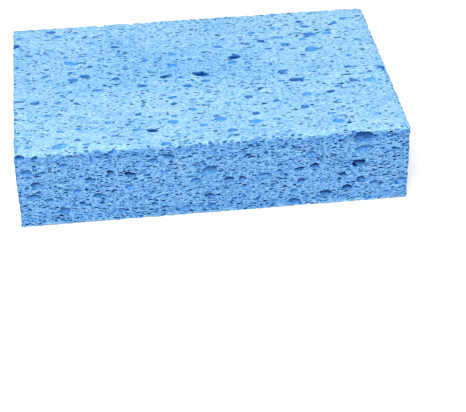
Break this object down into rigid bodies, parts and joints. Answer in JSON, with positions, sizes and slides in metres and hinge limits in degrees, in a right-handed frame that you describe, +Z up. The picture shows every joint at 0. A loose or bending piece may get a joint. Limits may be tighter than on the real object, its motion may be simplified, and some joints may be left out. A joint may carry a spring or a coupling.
{
  "type": "cleaning sponge",
  "caption": "Rectangular block of blue cellulose foam with open pores on every side, held in the hand to wipe and soak up water.",
  "frame": {"origin": "middle of the base, on the surface that the sponge rests on", "axes": "+X along the long front edge, +Y away from the front, +Z up out of the top face"},
  "size_m": [0.12, 0.08, 0.026],
  "materials": {
    "blue_foam": "dry cellulose foam, matt, with open pores"
  },
  "bodies": {
    "root": {"sponge": "blue_foam"}
  },
  "joints": []
}
